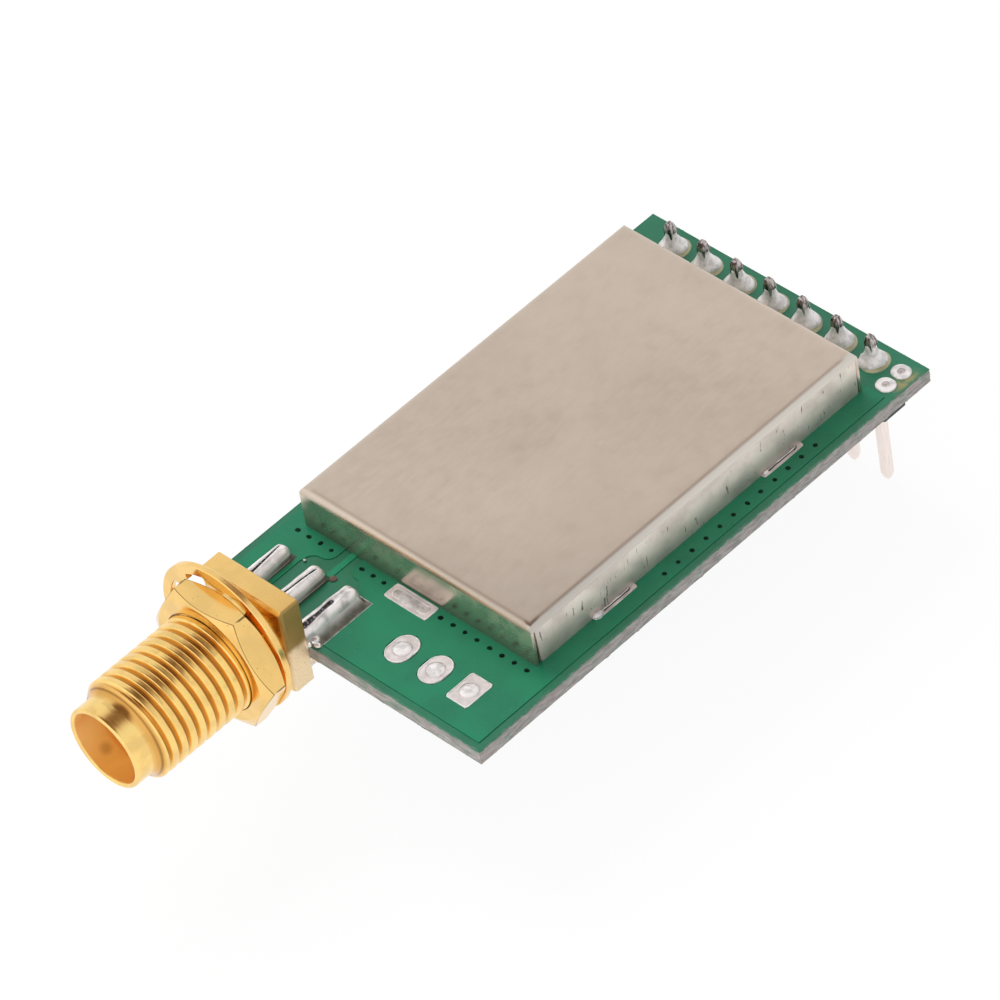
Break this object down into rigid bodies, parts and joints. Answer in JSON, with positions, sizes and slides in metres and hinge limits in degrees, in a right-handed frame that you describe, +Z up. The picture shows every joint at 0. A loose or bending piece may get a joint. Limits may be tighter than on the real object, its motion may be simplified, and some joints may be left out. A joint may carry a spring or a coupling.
{
  "type": "radio module",
  "caption": "Flat radio circuit board with a metal shield can, a threaded coaxial antenna jack at one end and a row of square header pins at the other.",
  "frame": {"origin": "middle of the pin row, on the underside of the header strip, which seats on a host board", "axes": "+X along the pin row, +Y from the antenna jack to the pins, +Z up out of the board's component side"},
  "size_m": [0.0214, 0.0484, 0.0145],
  "materials": {
    "board_laminate": "green solder mask over glass fibre, rough pale edges",
    "green_mask": "green solder mask over copper, semi-gloss",
    "tin": "tinned copper pad, satin",
    "solder": "bright solder with dull patches",
    "nickel_silver": "nickel silver sheet, satin with faint stains",
    "gold_plate": "gold-plated brass, polished",
    "white_plastic": "white fluoropolymer",
    "black_plastic": "moulded black nylon",
    "pin_metal": "thin gold flash over nickel, pale",
    "chip_case": "moulded epoxy",
    "crystal_can": "metal lid",
    "ceramic_chip": "fired ceramic with tinned ends"
  },
  "bodies": {
    "root": {"circuit_board": "board_laminate", "ground_copper_top": "green_mask", "ground_copper_bottom": "green_mask", "antenna_pads": "tin", "antenna_trace": "green_mask", "shield_pads": "tin", "header_plated_holes": "tin", "test_plated_holes": "tin", "spare_plated_holes": "tin", "spare_hole_solder": "solder", "test_hole_solder": "solder", "shield_can": "nickel_silver", "shield_solder": "solder", "connector_body": "gold_plate", "connector_insulator": "white_plastic", "centre_contact": "gold_plate", "lock_washer": "gold_plate", "hex_nut": "gold_plate", "connector_solder": "solder", "header_strip": "black_plastic", "header_solder": "solder", "antenna_switch_chip": "chip_case", "power_amplifier_chip": "chip_case", "radio_transceiver_chip": "chip_case", "microcontroller_chip": "chip_case", "voltage_regulator": "chip_case", "reference_oscillator": "crystal_can", "clock_crystal": "crystal_can", "filter_inductors": "ceramic_chip", "chip_capacitors": "ceramic_chip", "chip_resistors": "ceramic_chip", "header_pin_1": "pin_metal", "header_pin_2": "pin_metal", "header_pin_3": "pin_metal", "header_pin_4": "pin_metal", "header_pin_5": "pin_metal", "header_pin_6": "pin_metal", "header_pin_7": "pin_metal"}
  },
  "joints": []
}
